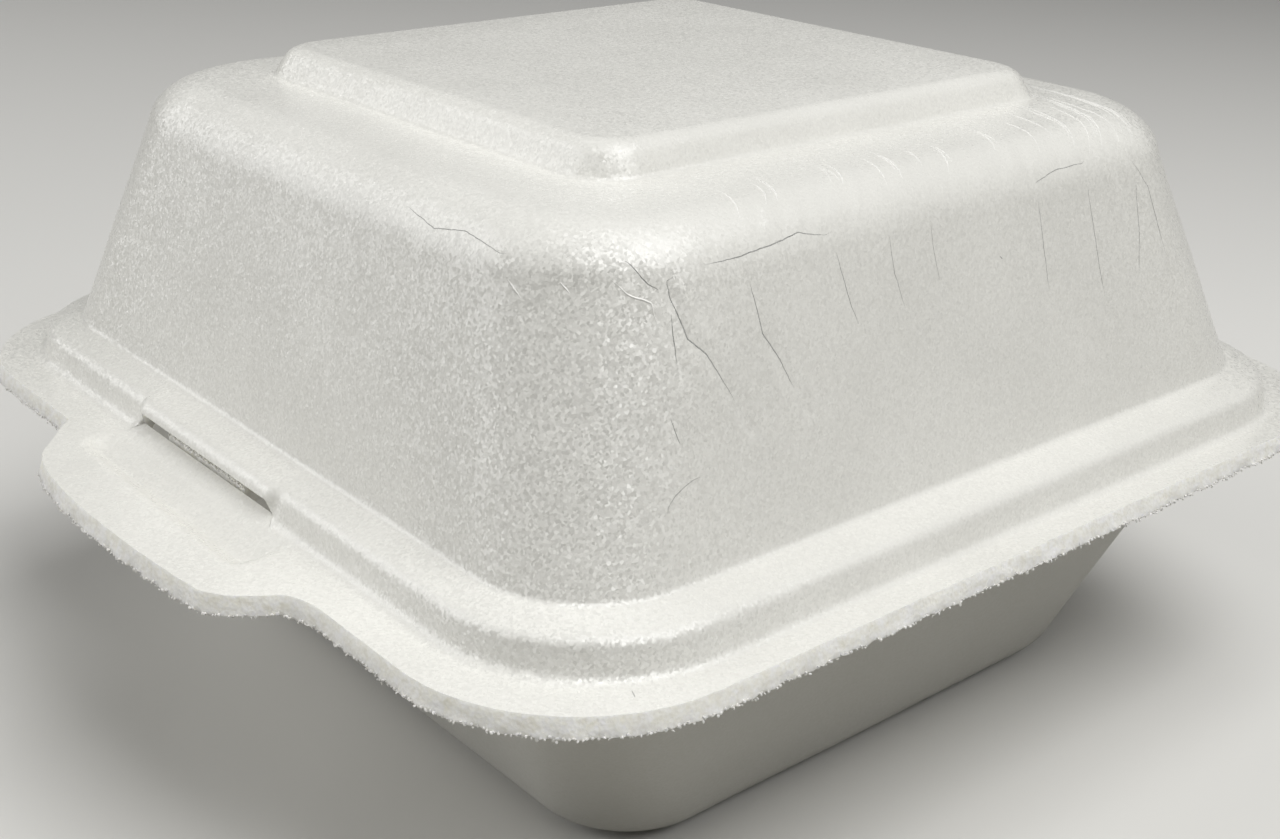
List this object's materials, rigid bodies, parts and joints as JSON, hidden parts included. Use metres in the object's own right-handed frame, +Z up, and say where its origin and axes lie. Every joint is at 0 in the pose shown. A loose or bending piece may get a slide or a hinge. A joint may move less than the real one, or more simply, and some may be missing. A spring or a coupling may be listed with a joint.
{
  "type": "foam clamshell container",
  "caption": "Square white foam takeaway box, closed: a tapered tray and a taller lid with a rimmed flange, raised top panel, finger tab and latch slot, joined by a hinge along the back.",
  "frame": {"origin": "on the tray's flat foot, on the table, under the middle of the lid's flange", "axes": "+Z up, the finger tab is at the front on -Y and the hinge at the back on +Y, +X to the right seen from the front"},
  "size_m": [0.144, 0.1591, 0.0865],
  "materials": {
    "foam_tray": "smooth expanded polystyrene sheet",
    "foam_lid": "satin expanded polystyrene sheet with fine cells",
    "foam_hinge": "pressed expanded polystyrene sheet"
  },
  "bodies": {
    "tray_body": {"tray": "foam_tray", "living_hinge": "foam_hinge"},
    "lid_body": {"lid": "foam_lid"}
  },
  "joints": [
    {"name": "lid_hinge", "type": "hinge", "parent": "tray_body", "child": "lid_body", "pos_m": [0, 0.0738, 0.03982], "axis": [-1, 0, 0], "range_deg": [0, 170], "deforming": ["living_hinge"]}
  ]
}
